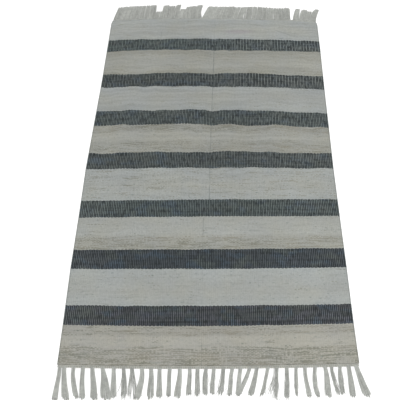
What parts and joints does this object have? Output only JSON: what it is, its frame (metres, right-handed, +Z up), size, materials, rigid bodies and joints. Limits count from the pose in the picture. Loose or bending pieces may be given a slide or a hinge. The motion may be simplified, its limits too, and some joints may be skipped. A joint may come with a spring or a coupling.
{
  "type": "rug",
  "caption": "Flat-woven rug with light and charcoal cross stripes, a ribbed face and a tasselled fringe along both short ends, lying flat on the floor.",
  "frame": {"origin": "on the floor under the middle of the woven cloth", "axes": "+X across the rug, +Y along it to the end with the combed fringe, +Z up from the floor"},
  "size_m": [0.9281, 1.6872, 0.005],
  "materials": {
    "woven_yarn": "matt weft-faced weave, light and charcoal bands with streaks",
    "fringe_yarn": "matt twisted yarn, greyish off-white"
  },
  "bodies": {
    "root": {"woven_cloth": "woven_yarn", "near_fringe": "fringe_yarn", "far_fringe": "fringe_yarn"}
  },
  "joints": []
}
